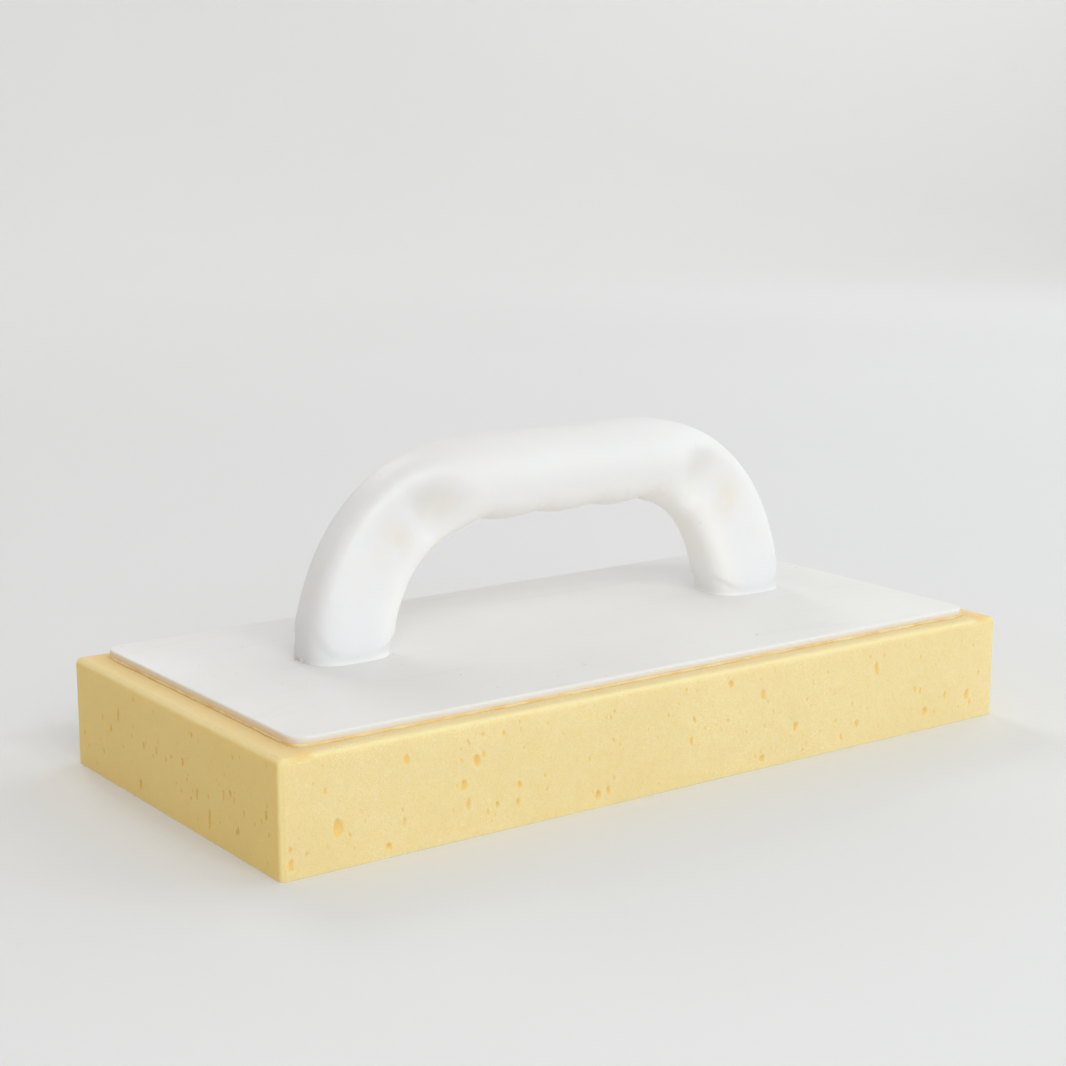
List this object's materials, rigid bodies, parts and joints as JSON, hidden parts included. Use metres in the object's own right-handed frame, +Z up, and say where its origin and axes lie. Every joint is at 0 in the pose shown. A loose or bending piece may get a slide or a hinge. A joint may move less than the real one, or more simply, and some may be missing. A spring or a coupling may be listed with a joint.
{
  "type": "sponge float",
  "caption": "Hand float for washing tile joints and smoothing render: thick open-cell sponge block glued under a crowned plastic plate with a moulded D-shaped grip handle.",
  "frame": {"origin": "middle of the sponge block's working face, the face the float rests on", "axes": "+X along the float's length, +Z up from the working face towards the handle"},
  "size_m": [0.24, 0.115, 0.09],
  "materials": {
    "sponge": "matte open-cell foam",
    "adhesive": "satin",
    "plate_plastic": "satin",
    "handle_plastic": "soft gloss",
    "screw_steel": "zinc plated"
  },
  "bodies": {
    "root": {"sponge_pad": "sponge", "adhesive_layer": "adhesive", "base_plate": "plate_plastic", "handle": "handle_plastic", "left_handle_screw": "screw_steel", "right_handle_screw": "screw_steel"}
  },
  "joints": []
}
